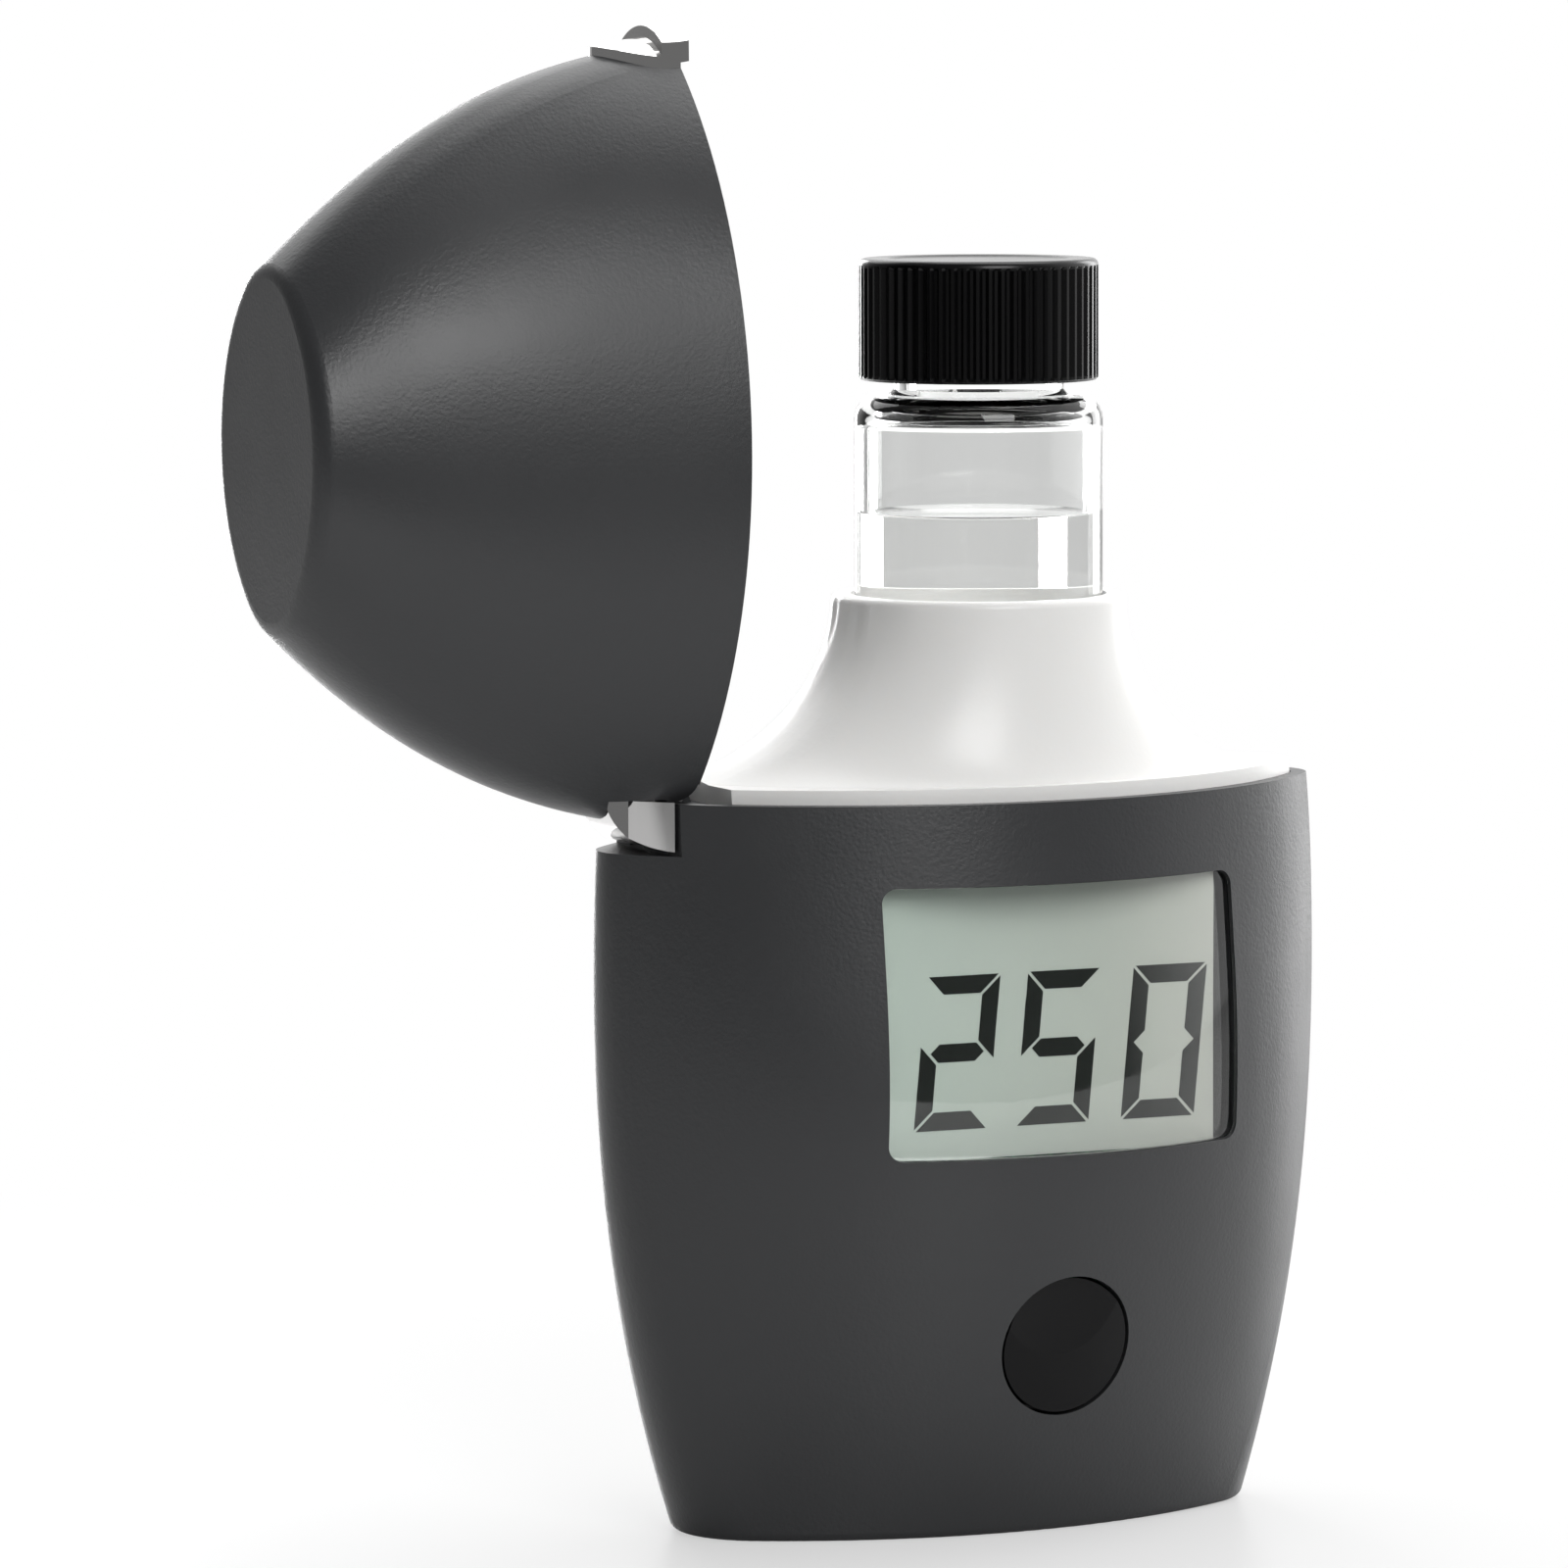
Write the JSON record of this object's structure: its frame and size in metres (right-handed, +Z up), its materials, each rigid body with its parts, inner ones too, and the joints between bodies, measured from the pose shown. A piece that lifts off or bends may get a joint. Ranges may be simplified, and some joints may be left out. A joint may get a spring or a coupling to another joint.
{
  "type": "portable colorimeter",
  "caption": "Egg-shaped handheld colorimeter with a swing lid, a capped glass cuvette in a light-tight well, a front display, a press button and a battery door.",
  "frame": {"origin": "centre of the flat base the meter stands on", "axes": "+Z up, the display and button face -Y, the hinge is at -X and the latch's side at +X"},
  "size_m": [0.088, 0.0371, 0.1165],
  "materials": {
    "case": "satin dark grey, fine grained",
    "cover": "satin off-white",
    "seal": "matte black",
    "well": "matte black",
    "filter": "polished, tinted green",
    "detector": "clear top over a black chip",
    "board": "green lacquer",
    "window": "polished, clear",
    "display": "grey-green polarizer film",
    "reflector": "frosted",
    "screw": "plain zinc",
    "chip": "moulded black",
    "light": "water-clear",
    "switch": "moulded black",
    "plunger": "moulded brown",
    "button": "polished black",
    "cell": "plain printed sleeve",
    "contact": "bright",
    "door": "satin dark grey",
    "bright": "mirror plated",
    "pin": "drawn",
    "cuvette": "clear borosilicate",
    "sample": "clear, nearly colourless",
    "liner": "soft white foam",
    "cap": "moulded black, finely ribbed"
  },
  "bodies": {
    "body": {"body_shell": "case", "inner_cover": "cover", "cuvette_seal": "seal", "cuvette_well": "well", "light_filter": "filter", "light_detector": "detector", "detector_board": "board", "display_window": "window", "display_glass": "display", "display_reflector": "reflector", "main_board": "board", "board_screws": "screw", "processor_chip": "chip", "light_source": "light", "key_switch": "switch", "battery_cell": "cell", "battery_contact": "contact"},
    "lid": {"lid_shell": "case", "latch_plate": "bright", "hinge_block": "bright", "hinge_pin": "pin"},
    "cuvette": {"cuvette_glass": "cuvette", "sample_liquid": "sample"},
    "liner": {"cap_liner": "liner"},
    "cap": {"cuvette_cap": "cap"},
    "button": {"power_button": "button", "switch_plunger": "plunger"},
    "battery_door": {"battery_door": "door", "battery_seal": "seal", "contact_leaf": "contact"}
  },
  "joints": [
    {"name": "lid_hinge", "type": "hinge", "parent": "body", "child": "lid", "pos_m": [-0.0262, 0, 0.0587], "axis": [0, 1, 0], "range_deg": [0, 90.5]},
    {"name": "cuvette_slide", "type": "slide", "parent": "body", "child": "cuvette", "axis": [0, 0, 1], "range_m": [-0.013, 0]},
    {"name": "cap_lift", "type": "slide", "parent": "cuvette", "child": "liner", "axis": [0, 0, 1], "range_m": [0, 0.002]},
    {"name": "cap_turn", "type": "hinge", "parent": "liner", "child": "cap", "pos_m": [0.0018, 0, 0.0934], "axis": [0, 0, 1], "range_deg": [0, 360]},
    {"name": "button_press", "type": "slide", "parent": "body", "child": "button", "axis": [0, 1, 0], "range_m": [0, 0.0004], "stiffness_N_per_m": 500},
    {"name": "door_turn", "type": "hinge", "parent": "body", "child": "battery_door", "pos_m": [-0.0152, 0, 0.0013], "axis": [0, 0, -1], "range_deg": [0, 90]}
  ],
  "couplings": [
    {"joint": "cuvette_slide", "follows": "lid_hinge", "m_per_rad": -0.00823},
    {"joint": "cap_lift", "follows": "cap_turn", "m_per_rad": 0.00031831}
  ]
}
